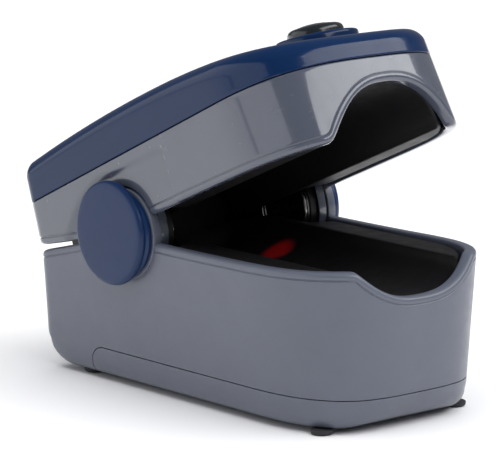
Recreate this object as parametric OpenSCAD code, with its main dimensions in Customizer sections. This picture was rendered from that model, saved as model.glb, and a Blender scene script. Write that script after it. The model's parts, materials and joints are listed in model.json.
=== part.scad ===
// Fingertip pulse oximeter: a spring-loaded clip of two moulded jaws on a common hinge line.
// All modules are drawn with the hinge axis on the Y axis through the origin, mouth towards +X.
// The jaw is drawn closed and then turned open to its rest angle.

/* [Overall] */
// Length from the rear wall to the mouth
body_l = 58; // [56:0.5:60]
// Width of the lower case at its rim
low_w = 30.8; // [30.4:0.1:31.4]
// Width of the upper case at its rim
up_w = 31.2; // [30.8:0.1:31.6]
// Height of the hinge axis above the surface the feet stand on
hinge_h = 20.5; // [20.5:0.1:21]
// Angle between the jaws at rest, clip held open
open_angle = 23.5; // [20:0.5:24]

/* [Cases] */
// Distance from the hinge axis to the rear wall
rear_x = 19; // [18.8:0.1:19.4]
// Wall thickness of the two cases
wall = 1.6; // [1.4:0.1:1.8]
// Height of the parting line of the battery cover above the bottom
door_h = 3.8; // [3.6:0.1:4.0]
// Distance of the battery cover's rear end behind the hinge axis
door_rear = 8.6; // [8.2:0.1:9.0]
// Half width of the finger opening at the mouth
notch_a = 9.8; // [9.4:0.1:10]
// Depth of the opening in the lower case
notch_low = 3.9; // [3.6:0.1:4.1]
// Depth of the opening in the upper case
notch_up = 6.4; // [6:0.1:6.6]

/* [Hinge] */
// Radius of the round side caps
cap_r = 6.7; // [6.5:0.1:6.8]
// Distance of the caps' centre behind the hinge pins
cap_back = 1.6; // [0:0.1:1.8]
// Radius of the knuckles under the caps
ear_r = 5.8; // [5.6:0.1:5.8]
// Radius of the hinge pins
pin_r = 1.5; // [1.3:0.05:1.6]
// Radial running clearance of the jaw knuckles on the pins
pin_fit = 0.05; // [0.02:0.01:0.1]
// Wire diameter of the torsion springs
spring_wire = 0.8; // [0.6:0.05:0.9]

/* [Controls and display] */
// Distance of the power button ahead of the hinge axis
button_x = 27.6; // [26.5:0.1:28.5]
// Radius of the power button
button_r = 3.6; // [3.2:0.1:3.7]
// Height of the button's dome above the cover
button_h = 2.6; // [2.2:0.1:2.8]
// Length of the display window
disp_l = 23; // [18:0.5:23]
// Width of the display window
disp_w = 17; // [14:0.5:18]

/* [Batteries] */
// Diameter of an AAA cell
cell_d = 10.5; // [10:0.1:10.5]
// Length of an AAA cell
cell_l = 44.5; // [43:0.1:44.5]

/* [Hidden] */

$fn = 64;
x_shift = -8.43;                // puts the resting body's box centre over the origin
front_x = body_l - rear_x;      // mouth end of the lower case
bot = -19.9;                    // underside of the lower case
foot_z = -hinge_h;              // underside of the feet
rim_lo = -0.5;                  // rim of the lower case
rim_up = 0.8;                   // rim of the upper case, closed
door_z = bot + door_h;          // parting line of the battery cover
bend_x = 21.8;                  // where the straight sides turn into the rounded front
corner_r = 2.2;                 // rounding of the rear corners
sup_n = 2.8;                    // roundness of the front along the length
sup_m = 3.1;                    // roundness of the front across the width
cell_y = 5.35;
cell_z = -13.25;
cell_x0 = -13.4;
apex_x = 12;                    // highest point of the top cover
apex_z = 15.9;

// Outline: straight sides, rounded front, small rear corners
function plan(w, xf, xr, xb, rr, k = 18) = concat(
  [for (i = [0:5]) let (a = 180 + 90*i/5) [xr + rr + rr*cos(a), -w + rr + rr*sin(a)]],
  [for (i = [0:k]) let (t = 90*i/k) [xb + (xf - xb)*pow(sin(t), 2/sup_n), -w*pow(cos(t), 2/sup_m)]],
  [for (i = [k-1:-1:0]) let (t = 90*i/k) [xb + (xf - xb)*pow(sin(t), 2/sup_n), w*pow(cos(t), 2/sup_m)]],
  [for (i = [0:5]) let (a = 90 + 90*i/5) [xr + rr + rr*cos(a), w - rr + rr*sin(a)]]);
// Arc of points for a filleted corner
function arc(cx, cz, r, a0, a1, k = 7) = [for (i = [0:k]) let (a = a0 + (a1 - a0)*i/k) [cx + r*cos(a), cz + r*sin(a)]];
// Height of the top cover along the length
function top_z(x) = apex_z - (x < apex_x ? 0.0019 : 0.0033)*pow(x - apex_x, 2);
// Height of the seam between the upper case and the top cover
function seam_z(x) = 9.45 + 0.03*x;

// Extrudes an X-Z outline across the width
module across(half) rotate([90, 0, 0]) translate([0, 0, -half]) linear_extrude(2*half) children();
// Extrudes a Y-Z outline along the length
module along(x0, x1) translate([x0, 0, 0]) rotate([90, 0, 90]) linear_extrude(x1 - x0) children();
module cyl_y(r, y0, y1, f = 64) translate([0, y0, 0]) rotate([-90, 0, 0]) cylinder(r = r, h = y1 - y0, $fn = f);
module mirror_y() { children(); mirror([0, 1, 0]) children(); }

// Lower case body: tapered walls, filleted bottom edges
module low_body(d, top, r_end, r_side) {
  h = top - bot;
  w0 = low_w/2 - 0.076*(-0.5 - bot);
  w1 = low_w/2 + 0.076*(top + 0.5);
  f0 = front_x - 0.045*(-0.5 - bot);
  f1 = front_x + 0.045*(top + 0.5);
  intersection() {
    translate([-rear_x, 0, bot])
      linear_extrude(height = h, slices = 1, scale = [(f1 - d + rear_x - d)/(f0 - d + rear_x - d), (w1 - d)/(w0 - d)])
        polygon(plan(w0 - d, f0 - d + rear_x, d, bend_x + rear_x, corner_r));
    across(20) polygon(concat([[45, top + 1], [-rear_x - 2, top + 1], [-rear_x - 2, bot + d + r_end]],
      arc(-rear_x - 0.1 + d + r_end, bot + d + r_end, r_end, 180, 270),
      arc(f0 - d + 0.25 - r_end, bot + d + r_end, r_end, 270, 360), [[45, bot + d + r_end]]));
    along(-30, 60) polygon(concat([[20, top + 1], [-20, top + 1], [-20, bot + d + r_side]],
      arc(-w0 + d + r_side - 0.12, bot + d + r_side, r_side, 180, 270),
      arc(w0 - d - r_side + 0.12, bot + d + r_side, r_side, 270, 360), [[20, bot + d + r_side]]));
  }
}

// Upper case body, closed, from its rim to above the cover
module up_body(d) {
  h = 17;
  w0 = up_w/2; f0 = front_x - 0.5; r0 = rear_x;
  w1 = w0 - 0.02*h; f1 = f0 - 0.15*h; r1 = r0 - 0.05*h;
  s = (f1 + r1)/(f0 + r0);
  c = (-r1 + s*r0)/(1 - s);
  translate([c, 0, rim_up])
    linear_extrude(height = h, slices = 1, scale = [s, w1/w0])
      translate([-c, 0]) polygon(plan(w0 - d, f0 - d, -r0 + d, bend_x, max(corner_r - d, 0.8)));
}

// Side outline of the closed jaw between the rim and the seam
module jaw_side(lift = 0) polygon([[-4.7, rim_up + lift], [45, rim_up + lift], [45, seam_z(45)], [-25, seam_z(-25)], [-25, rim_up + lift + 0.185*20.3]]);
// Side outline of the top cover, d below its skin
module cover_side(d, from = 0, re = 1.6) polygon(concat(
  [[-25, seam_z(-25) + from], [45, seam_z(45) + from], [45, top_z(34.6) - 1.6 - d]],
  arc(34.9 - d, top_z(34.9) - re, re - d, 20, 76, 6),
  [for (i = [0:20]) let (x = 33.3 - i*2.25) [x, top_z(x) - d]],
  arc(-17.6 + d + 1.4, top_z(-16.4) - 1.6, 1.6 - d*0.6, 100, 180, 5), [[-25, top_z(-18) - 1.7 - d]]));
// End outline that rounds the cover's long edges
module cover_end(d) polygon(concat([[20, 0], [20, 15.9 - 2.7 - d]],
  arc(15.15 - d - 2.4, 15.9 - 2.4 - d, 2.4, 0, 90, 8), arc(-15.15 + d + 2.4, 15.9 - 2.4 - d, 2.4, 90, 180, 8), [[-20, 15.9 - 2.7 - d], [-20, 0]]));

// Finger channel outline: elliptical trough hanging below (s = -1) or rising above (s = 1) a level
module channel(a, b, z0, s) polygon(concat([[a, z0 - s*6], [a, z0]],
  [for (i = [1:23]) let (t = 180*i/24) [a*cos(t), z0 + s*b*sin(t)]], [[-a, z0], [-a, z0 - s*6]]));
// Mouth notch with eased shoulders
module notch(a, b, z0, s) polygon(concat([[a + 2.6, z0 - s*8], [a + 2.6, z0 + s*0.001]],
  [for (i = [0:5]) let (t = 90*i/5) [a + 2.6 - 2.6*sin(t)*0.9, z0 + s*(1.0 - cos(t))*1.1]],
  [for (i = [1:23]) let (t = 9 + 162*i/24) [a*cos(t), z0 + s*b*sin(t)]],
  [for (i = [5:-1:0]) let (t = 90*i/5) [-a - 2.6 + 2.6*sin(t)*0.9, z0 + s*(1.0 - cos(t))*1.1]],
  [[-a - 2.6, z0 + s*0.001], [-a - 2.6, z0 - s*8]]));

// Side outline of the battery cover region, grown by g
module door_side(g = 0) polygon(concat([[45, bot - 2], [45, door_z + g]],
  arc(-door_rear - g + 2.4 + g, door_z + g - 2.4 - g, 2.4 + g, 90, 180), [[-door_rear - g, bot - 2]]));

module base_frame() translate([x_shift, 0, hinge_h]) children();
module jaw_frame() translate([x_shift, 0, hinge_h]) rotate([0, -open_angle, 0]) children();

// ---------- lower case ----------
module lower_shell() color([0.43, 0.45, 0.49]) base_frame() {
  difference() {
    union() {
      difference() {
        low_body(0, rim_lo + 0.8, 5, 1.8);
        low_body(wall, rim_lo + 3, 4, 1.2);
        // rim: falls away behind so that the jaw can swing, and rises a little to the mouth
        across(20) polygon(concat([[45, 5], [-30, 5], [-30, rim_lo - 29*0.256], [-1, rim_lo]],
          [for (x = [8:3:44]) [x, rim_lo + 0.0006*pow(x - 8, 2)]]));
        across(20) door_side(0.12);
      }
      // knuckles
      mirror_y() cyl_y(ear_r, 14.1, 15.4);
      mirror_y() intersection() {
        across(20) polygon([[0, 0], [ear_r, 0], [ear_r + 1.5, -6], [0, -6]]);
        translate([-10, 14.1, -7]) cube([20, 1.2, 7.2]);
      }
      // rails for the battery cover
      mirror_y() translate([-7.5, 10.9, door_z - 1.5]) cube([27, 0.6, 2.2]);
      mirror_y() translate([-7.5, 10.9, door_z + 0.2]) cube([27, 2.6, 0.8]);
      mirror_y() translate([-7.5, 10.9, door_z - 1.5]) cube([27, 1.1, 0.5]);
      // posts that carry the tray
      for (x = [6, 26]) mirror_y() translate([x, 11.8, -10.6]) cylinder(r = 1.3, h = 2.65);
    }
    mirror_y() cyl_y(ear_r + 0.5, 9, 14.06);
    mirror_y() cyl_y(pin_r, 13, 17);
    for (x = [6, 26]) mirror_y() translate([x, 11.8, -10.3]) cylinder(r = 0.6, h = 4);
    // cradle under the rear ends of the cells
    translate([-13.6, -8.6, -18.65]) cube([6, 17.2, 2]);
    // mouth
    along(30, 45) notch(notch_a, notch_low, rim_lo, -1);
  }
}

module battery_cover() color([0.42, 0.44, 0.48]) base_frame() {
  difference() {
    intersection() { low_body(0, rim_lo, 5, 1.8); across(20) door_side(0); }
    intersection() {
      low_body(1.3, rim_lo + 3, 4, 1.0);
      translate([-30, -20, bot + 1.3]) cube([80, 40, 10]);
    }
  }
  // ridges that run on the case's rails
  mirror_y() translate([-7, 12.15, door_z - 0.85]) cube([26, 0.9, 0.7]);
}

module foot(x, y) translate([x, y, foot_z]) {
  cylinder(r1 = 1.2, r2 = 1.4, h = 0.25);
  translate([0, 0, 0.25]) cylinder(r = 1.4, h = bot - foot_z - 0.25);
}
module front_feet() color([0.12, 0.12, 0.13]) base_frame() mirror_y() foot(32.8, 11.2);
module rear_feet() color([0.12, 0.12, 0.13]) base_frame() mirror_y() foot(-11.6, 11.2);

// ---------- battery bay ----------
module battery_tray() color([0.2, 0.21, 0.23]) base_frame() difference() {
  union() {
    intersection() {
      low_body(wall + 0.25, 2, 4, 1.2);
      translate([-16.8, -20, -7.9]) cube([60, 40, 0.9]);
    }
    // end walls that hold the contacts
    translate([-15.9, -10.6, -16.9]) cube([0.9, 21.2, 9.1]);
    translate([32.75, -9.6, -15.7]) cube([0.9, 19.2, 7.9]);
  }
  for (x = [6, 26]) mirror_y() translate([x, 11.8, -9]) cylinder(r = 0.7, h = 4);
  translate([-14.6, 3.6, -9]) cube([1.2, 5.8, 4]);
}
module tray_screws() color([0.75, 0.75, 0.78]) base_frame() for (x = [6, 26]) mirror_y() translate([x, 11.8, -10.0]) difference() {
  union() { cylinder(r = 0.6, h = 3.2); translate([0, 0, 3.0]) cylinder(r = 1.1, h = 0.6); }
  translate([-0.8, -0.12, 3.35]) cube([1.6, 0.24, 1]);
  translate([-0.12, -0.8, 3.35]) cube([0.24, 1.6, 1]);
}
module cell(y, dir) base_frame() translate([cell_x0 + cell_l/2, y, cell_z]) rotate([0, 90*dir, 0]) translate([0, 0, -cell_l/2])
  rotate_extrude() polygon([[0, 0], [3.6, 0], [3.7, 0.15], [4.9, 0.15], [cell_d/2, 0.5], [cell_d/2, cell_l - 1.6], [4.9, cell_l - 1.2], [3.2, cell_l - 1.2], [3.0, cell_l - 1.0], [1.9, cell_l - 1.0], [1.9, cell_l - 0.2], [1.6, cell_l], [0, cell_l]]);
module battery_left() color([0.2, 0.45, 0.3]) cell(cell_y, 1);
module battery_right() color([0.2, 0.45, 0.3]) cell(-cell_y, -1);

// Round wire swept along a list of points
function unit(v) = v/norm(v);
module wire(pts, r, k = 8, ref = [0, 1, 0]) {
  n = len(pts);
  rings = [for (i = [0:n-1]) let (
    t = unit(pts[min(i+1, n-1)] - pts[max(i-1, 0)]),
    u = unit(cross(t, ref)), v = cross(t, u))
    for (j = [0:k-1]) pts[i] + r*cos(360*j/k)*u + r*sin(360*j/k)*v];
  polyhedron(points = rings, faces = concat([[for (j = [0:k-1]) j]],
    [for (i = [0:n-2]) for (j = [0:k-1]) [i*k + j, (i+1)*k + j, (i+1)*k + (j+1)%k, i*k + (j+1)%k]],
    [[for (j = [k-1:-1:0]) (n-1)*k + j]]), convexity = 6);
}
// Conical coil against a cell's flat end
module cone_coil(x0, x1, y) wire([for (i = [0:44]) let (a = 360*i/16, f = i/44, r = 3.6 - 1.9*f) [x0 + (x1 - x0)*f, y + r*cos(a), cell_z + r*sin(a)]], 0.2, 6, [1, 0, 0]);
module contact_springs() color([0.8, 0.8, 0.82]) base_frame() {
  cone_coil(-14.47, -13.65, cell_y);
  translate([-14.98, cell_y - 3.9, cell_z - 3.9]) cube([0.28, 7.8, 7.8]);
  cone_coil(32.19, 31.35, -cell_y);
  translate([32.42, -cell_y - 3.6, cell_z - 1.5]) cube([0.28, 7.8, 6]);
}
module contact_plates() color([0.8, 0.8, 0.82]) base_frame() {
  translate([-14.98, -cell_y - 3.9, cell_z - 3.9]) cube([0.28, 7.8, 7.8]);
  translate([-14.7, -cell_y - 1.6, cell_z - 1.6]) cube([1.25, 3.2, 3.2]);
  translate([32.42, cell_y - 4.2, cell_z - 1.5]) cube([0.28, 7.8, 6]);
  translate([31.15, cell_y - 1.6, cell_z - 1.4]) cube([1.27, 3.2, 3.2]);
}

// ---------- finger pads ----------
module lower_finger_pad() color([0.05, 0.05, 0.06]) base_frame() {
  lower_pad_body();
  // finger stop, a tongue that stands up inside the upper channel
  along(-9.4, -8.2) polygon(concat([[-8.4, -5], [8.4, -5]], [for (i = [0:16]) let (t = 180*i/16) [8.4*cos(t), -0.75 + 3.2*sin(t)]]));
}
module lower_pad_body() difference() {
  intersection() {
    low_body(wall + 0.15, rim_lo, 4, 1.2);
    translate([-9.6, -20, -6.95]) cube([60, 40, 6.95 - 0.75]);
  }
  // channel for the finger, closed at the rear by the stop
  along(-7.8, 45) channel(9.3, 4.1, -0.75, -1);
  // room for the knuckles and springs
  mirror_y() translate([-12, 10.7, -8]) cube([18.7, 10, 10]);
  // window, board and screw heads
  translate([-0.6, -3.1, -8]) cube([7.2, 6.2, 6]);
  translate([-4.2, -5.2, -8]) cube([14.4, 10.4, 1.86]);
  for (x = [6, 26]) mirror_y() translate([x, 11.8, -8]) cylinder(r = 1.4, h = 1.9);
  // rear edge falls away with the case
  across(20) polygon([[-1, rim_lo - 0.25], [-1, 5], [-30, 5], [-30, rim_lo - 0.25 - 29*0.256]]);
}
module detector_window() color([0.5, 0.1, 0.1, 0.6]) base_frame() difference() {
  translate([-0.5, -3.0, -6.1]) cube([7, 6, 1.25]);
  along(-2, 9) channel(9.3, 4.1, -0.75, -1);
}
module sensor_board() color([0.1, 0.35, 0.2]) base_frame() {
  translate([-4, -5, -6.98]) cube([14, 10, 0.6]);
  translate([1.2, -1.8, -6.38]) cube([3.6, 3.6, 0.22]);
}

// ---------- hinge ----------
module hinge_cap() base_frame() difference() {
  union() {
    // disc, set back a little from the pin so that it covers the case's relief
    translate([-cap_back, 0, 0]) rotate([-90, 0, 0]) rotate_extrude($fn = 96) polygon(concat([[0, 15.8]],
      arc(cap_r - 0.5, 16.3, 0.5, -90, 0, 4), arc(cap_r - 0.6, 16.3, 0.6, 5, 85, 5), [[3.5, 16.93], [0, 16.95]]));
    cyl_y(5.5, 15.43, 15.9);
  }
  cyl_y(pin_r, 14, 16.4);
}
module hinge_cap_left() color([0.16, 0.24, 0.4]) hinge_cap();
module hinge_cap_right() color([0.16, 0.24, 0.4]) mirror([0, 1, 0]) hinge_cap();
module hinge_pin() base_frame() {
  cyl_y(pin_r, 11.0, 16.35);
  cyl_y(2.0, 10.75, 11.0);
}
module hinge_pin_left() color([0.8, 0.8, 0.82]) hinge_pin();
module hinge_pin_right() color([0.8, 0.8, 0.82]) mirror([0, 1, 0]) hinge_pin();
// Torsion spring: close coils with one leg down to the case and one up to the jaw
module torsion_spring() base_frame() {
  r = 4.5; n = 14;
  wire(concat([[-5.6, 11.15, -3.4], [-4.2, 11.15, -2.9]],
    [for (i = [3:37]) let (a = 200 + 360*i/n) [r*cos(a), 11.15 + 0.53*(i - 3)/n, r*sin(a)]],
    [[0.4, 12.4, 4.9], [-0.9, 12.4, 5.3]]), spring_wire/2*0.62, 8);
}
module torsion_spring_left() color([0.8, 0.8, 0.82]) torsion_spring();
module torsion_spring_right() color([0.8, 0.8, 0.82]) mirror([0, 1, 0]) torsion_spring();

// Flat cable from the sensor board to the main board, with slack behind the finger stop
module flex_cable() color([0.7, 0.45, 0.15]) base_frame() translate([0, 4.2, 0]) rotate([90, 0, 0]) translate([0, 0, -4.6]) linear_extrude(4.6)
  polygon(concat(
    [for (i = [0:16]) let (f = i/16) [-14.1 - 3.9*f - 0.4*sin(180*f), -6.9 + 10.2*f]],
    [for (i = [1:8]) let (a = 180 - 120*i/8) [-16.75 + 1.25*cos(a), 3.3 + 2.2*sin(a)*0.9]],
    [for (i = [8:-1:1]) let (a = 180 - 120*i/8) [-16.75 + 1.05*cos(a), 3.3 + 2.0*sin(a)*0.9]],
    [for (i = [16:-1:0]) let (f = i/16) [-13.9 - 3.9*f - 0.4*sin(180*f), -6.9 + 10.2*f]]));

// ---------- upper jaw ----------
module upper_shell() color([0.5, 0.51, 0.55]) jaw_frame() {
  difference() {
    union() {
      difference() {
        intersection() { up_body(0); across(20) jaw_side(); }
        difference() {
          up_body(wall);
          // shelf that carries the boards
          translate([-25, -20, 8.3]) cube([55.5, 40, 0.8]);
        }
        // round relief for the lower knuckles
        mirror_y() cyl_y(ear_r + 0.3, 14.05, 18);
        // shelf openings
        translate([-0.2, -2.6, 7]) cube([6.4, 5.2, 4]);
        translate([-16.6, 3.2, 7]) cube([2.2, 6.2, 4]);
      }
      // knuckles with the spring arbors
      mirror_y() cyl_y(ear_r - 0.2, 12.7, 14.0);
      mirror_y() translate([-5.6, 12.7, 0]) cube([11.2, 1.3, 6.6]);
      mirror_y() translate([-5.6, 12.7, 6.4]) cube([11.2, 1.6, 2.3]);
      mirror_y() cyl_y(3.5, 11.05, 12.8);
    }
    mirror_y() cyl_y(pin_r + pin_fit, 10, 15);
    // mouth
    along(30, 45) notch(notch_a + 0.1, notch_up, rim_up, 1);
    for (x = [-12.6, 27]) mirror_y() translate([x, 10.9, 7]) cylinder(r = 0.7, h = 4);
  }
}

module top_cover() color([0.16, 0.26, 0.4]) jaw_frame() {
  difference() {
    union() {
      difference() {
        intersection() { up_body(0); across(20) cover_side(0, 0.05); along(-30, 60) cover_end(0); }
        difference() {
          intersection() { up_body(1.4); across(20) cover_side(1.3, -2); along(-30, 60) cover_end(1.3); }
          // thicker skin round the display
          translate([-11.3, -disp_w/2 - 0.9, 13.5]) cube([disp_l + 1.6, disp_w + 1.8, 3]);
        }
      }
      // screw posts
      for (x = [-12.6, 27]) mirror_y() translate([x, 10.9, 9.2]) cylinder(r = 1.4, h = 5.0);
      // collar round the button
      at_button() translate([0, 0, -0.9]) cylinder(r = 5.3, h = 1.9);
    }
    // rebate for the window and the opening behind it
    difference() {
      translate([-10.6, -disp_w/2 - 0.1, 12]) cube([disp_l + 0.2, disp_w + 0.2, 8]);
      across(20) cover_side(1.15, -5);
    }
    translate([-9.7, -disp_w/2 + 0.7, 8]) cube([disp_l - 1.6, disp_w - 1.4, 9]);
    at_button() translate([0, 0, -4]) cylinder(r = 3.85, h = 8);
    for (x = [-12.6, 27]) mirror_y() translate([x, 10.9, 9]) cylinder(r = 0.6, h = 3.4);
  }
}
// Button axis stands square to the cover
button_tilt = atan(2*0.0033*(button_x - apex_x));
module at_button() translate([button_x, 0, top_z(button_x)]) rotate([0, button_tilt, 0]) children();

module power_button() color([0.08, 0.11, 0.13]) jaw_frame() at_button() rotate_extrude($fn = 72)
  polygon(concat([[0, -2.4], [1.6, -2.4], [1.6, -2.2], [4.3, -2.2], [4.3, -1.75], [button_r, -1.75], [button_r, button_h - 1.15]],
    [for (i = [1:8]) let (t = 90*i/8) [button_r - 0.9 + 0.9*cos(t) - (button_r - 0.9)*(i/8)*(i/8)*0.12, button_h - 1.15 + 0.75*sin(t)]],
    [[1.6, button_h - 0.12], [0, button_h]]));

module upper_finger_pad() color([0.05, 0.05, 0.06]) jaw_frame() difference() {
  intersection() {
    up_body(wall + 0.15);
    translate([-9.6, -20, rim_up + 0.25]) cube([60, 40, 8.2 - rim_up - 0.25]);
    across(20) jaw_side(0.25);
  }
  // channel, open at the rear where the stop stands
  along(-11, 45) channel(9.5, notch_up - 0.15, rim_up + 0.25, 1);
  // room for the knuckles and springs
  mirror_y() translate([-12, 10.7, 0]) cube([18.7, 10, 12]);
  translate([-0.6, -3.1, 6]) cube([7.2, 6.2, 6]);
  for (x = [27]) mirror_y() translate([x, 10.9, 7.4]) cylinder(r = 1.4, h = 1.9);
}
module emitter_window() color([0.5, 0.1, 0.1, 0.6]) jaw_frame() difference() {
  translate([-0.5, -3.0, 7.0]) cube([7, 6, 1.25]);
  along(-2, 9) channel(9.5, notch_up - 0.15, rim_up + 0.25, 1);
}
module emitter_board() color([0.1, 0.35, 0.2]) jaw_frame() {
  translate([-4, -5, 9.12]) cube([14, 10, 0.6]);
  translate([1.8, -1.2, 8.5]) cube([2.4, 2.4, 0.64]);
}
module main_board() color([0.1, 0.35, 0.2]) jaw_frame() {
  translate([-11.2, -9.2, 10.6]) cube([42, 18.4, 1.0]);
  translate([-6, 2, 10.0]) cube([7, 7, 0.62]);
  translate([15.5, -7, 11.58]) cube([5, 5, 0.8]);
  translate([16.5, 2, 11.58]) cube([3.2, 1.6, 1.0]);
}
module display_module() color([0.05, 0.06, 0.1]) jaw_frame() {
  translate([-9.4, -7.6, 11.62]) cube([20.6, 15.2, 1.3]);
}
module display_window() color([0.02, 0.03, 0.05]) jaw_frame() across(disp_w/2) polygon(concat(
  [for (i = [0:10]) let (x = -10.5 + disp_l*i/10) [x, top_z(x) - 1.12]],
  [for (i = [10:-1:0]) let (x = -10.5 + disp_l*i/10) [x, top_z(x) - 0.05]]));
module tact_switch() color([0.7, 0.7, 0.72]) jaw_frame() {
  translate([button_x - 2.4, -2.2, 11.6]) cube([4.6, 4.4, 0.25]);
  translate([button_x - 0.2, 0, 11.8]) cylinder(r = 0.9, h = 0.1);
}
module jaw_screws() color([0.75, 0.75, 0.78]) jaw_frame() for (x = [-12.6, 27]) mirror_y() translate([x, 10.9, 7.65]) difference() {
  union() { cylinder(r = 1.1, h = 0.63); cylinder(r = 0.6, h = 4.2); }
  translate([-0.8, -0.12, -1]) cube([1.6, 0.24, 1.25]);
  translate([-0.12, -0.8, -1]) cube([0.24, 1.6, 1.25]);
}

lower_shell();
battery_cover();
front_feet();
rear_feet();
battery_tray();
tray_screws();
battery_left();
battery_right();
contact_springs();
contact_plates();
lower_finger_pad();
detector_window();
sensor_board();
hinge_cap_left();
hinge_cap_right();
hinge_pin_left();
hinge_pin_right();
torsion_spring_left();
torsion_spring_right();
flex_cable();
upper_shell();
top_cover();
upper_finger_pad();
emitter_window();
emitter_board();
main_board();
display_module();
display_window();
tact_switch();
jaw_screws();
power_button();
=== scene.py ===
import bpy, bmesh, math, json
import numpy as np
from mathutils import Vector, Matrix
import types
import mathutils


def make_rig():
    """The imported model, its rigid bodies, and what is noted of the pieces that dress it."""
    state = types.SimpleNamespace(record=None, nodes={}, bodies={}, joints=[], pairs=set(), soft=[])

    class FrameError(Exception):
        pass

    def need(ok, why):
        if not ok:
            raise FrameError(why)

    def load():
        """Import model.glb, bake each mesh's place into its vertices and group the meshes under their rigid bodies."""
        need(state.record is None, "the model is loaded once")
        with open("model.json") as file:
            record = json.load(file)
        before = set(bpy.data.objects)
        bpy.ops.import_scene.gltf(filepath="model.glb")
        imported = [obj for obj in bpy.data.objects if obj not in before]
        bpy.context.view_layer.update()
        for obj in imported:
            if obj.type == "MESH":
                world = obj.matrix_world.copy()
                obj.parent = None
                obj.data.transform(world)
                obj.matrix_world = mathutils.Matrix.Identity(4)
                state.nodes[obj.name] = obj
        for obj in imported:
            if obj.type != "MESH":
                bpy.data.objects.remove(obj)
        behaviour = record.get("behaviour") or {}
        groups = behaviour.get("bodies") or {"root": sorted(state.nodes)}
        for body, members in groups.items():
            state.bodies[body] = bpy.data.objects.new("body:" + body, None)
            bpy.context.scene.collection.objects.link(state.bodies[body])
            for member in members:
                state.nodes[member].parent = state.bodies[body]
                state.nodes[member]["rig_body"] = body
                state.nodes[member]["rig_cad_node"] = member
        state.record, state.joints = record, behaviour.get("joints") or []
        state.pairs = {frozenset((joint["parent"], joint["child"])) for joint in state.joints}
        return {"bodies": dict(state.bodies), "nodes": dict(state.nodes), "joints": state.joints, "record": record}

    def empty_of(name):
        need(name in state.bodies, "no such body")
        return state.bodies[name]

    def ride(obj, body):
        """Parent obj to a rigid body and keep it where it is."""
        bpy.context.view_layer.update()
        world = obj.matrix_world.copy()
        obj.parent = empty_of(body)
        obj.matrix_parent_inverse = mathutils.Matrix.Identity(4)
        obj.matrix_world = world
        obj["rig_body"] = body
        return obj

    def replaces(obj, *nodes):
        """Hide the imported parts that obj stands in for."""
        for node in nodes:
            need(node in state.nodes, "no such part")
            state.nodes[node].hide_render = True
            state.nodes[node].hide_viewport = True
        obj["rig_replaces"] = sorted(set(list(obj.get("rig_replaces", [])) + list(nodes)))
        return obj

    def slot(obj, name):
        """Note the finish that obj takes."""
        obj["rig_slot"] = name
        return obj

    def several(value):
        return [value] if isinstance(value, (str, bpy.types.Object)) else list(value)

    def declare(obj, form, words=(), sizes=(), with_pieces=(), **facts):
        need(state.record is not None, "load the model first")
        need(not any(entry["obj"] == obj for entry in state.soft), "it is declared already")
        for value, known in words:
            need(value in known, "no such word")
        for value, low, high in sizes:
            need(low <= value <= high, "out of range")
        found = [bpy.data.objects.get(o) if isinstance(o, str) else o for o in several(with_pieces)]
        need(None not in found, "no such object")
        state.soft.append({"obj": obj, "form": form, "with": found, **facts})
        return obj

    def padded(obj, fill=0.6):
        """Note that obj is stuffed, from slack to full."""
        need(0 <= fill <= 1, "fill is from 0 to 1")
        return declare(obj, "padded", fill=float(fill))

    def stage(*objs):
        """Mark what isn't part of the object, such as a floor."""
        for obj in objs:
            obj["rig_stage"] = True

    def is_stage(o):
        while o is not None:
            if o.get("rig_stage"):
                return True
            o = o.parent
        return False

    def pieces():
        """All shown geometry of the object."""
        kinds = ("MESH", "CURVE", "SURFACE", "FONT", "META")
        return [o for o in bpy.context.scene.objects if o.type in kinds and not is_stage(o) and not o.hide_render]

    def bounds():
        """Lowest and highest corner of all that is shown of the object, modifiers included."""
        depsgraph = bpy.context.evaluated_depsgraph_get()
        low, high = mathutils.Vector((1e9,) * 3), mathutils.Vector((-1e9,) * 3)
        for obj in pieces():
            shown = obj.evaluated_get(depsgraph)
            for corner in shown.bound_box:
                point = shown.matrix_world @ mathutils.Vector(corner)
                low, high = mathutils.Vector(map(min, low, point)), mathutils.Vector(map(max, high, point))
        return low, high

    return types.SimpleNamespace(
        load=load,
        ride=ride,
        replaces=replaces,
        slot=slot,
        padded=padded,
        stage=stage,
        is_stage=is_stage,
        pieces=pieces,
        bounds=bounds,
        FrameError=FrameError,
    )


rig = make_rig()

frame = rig.load()
CAD_LO, CAD_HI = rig.bounds()
NODES = frame["nodes"]

# ------------------------------------------------------------------ frame
HINGE = np.array([j for j in frame["joints"] if j["name"] == "jaw_hinge"][0]["pos_m"]) * 1000.0
OPEN = math.radians(23.5)
CO, SI = math.cos(OPEN), math.sin(OPEN)


def base(p):
    return (np.asarray(p, float) + HINGE) * 0.001


def jaw(p):
    p = np.asarray(p, float)
    x = p[..., 0] * CO - p[..., 2] * SI
    z = p[..., 0] * SI + p[..., 2] * CO
    return (np.stack([x, p[..., 1], z], -1) + HINGE) * 0.001


def sstep(a, b, x):
    t = np.clip((np.asarray(x, float) - a) / (b - a), 0, 1)
    return t * t * (3 - 2 * t)


# ------------------------------------------------------------------ mesh helpers
def make(name, verts, faces, merge=1e-7):
    me = bpy.data.meshes.new(name)
    me.from_pydata([tuple(v) for v in verts], [], [tuple(int(i) for i in f) for f in faces])
    bm = bmesh.new()
    bm.from_mesh(me)
    bmesh.ops.remove_doubles(bm, verts=bm.verts, dist=merge)
    bmesh.ops.dissolve_degenerate(bm, dist=merge, edges=bm.edges)
    bmesh.ops.recalc_face_normals(bm, faces=bm.faces)
    bm.to_mesh(me)
    bm.free()
    ob = bpy.data.objects.new(name, me)
    bpy.context.scene.collection.objects.link(ob)
    return ob


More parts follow.
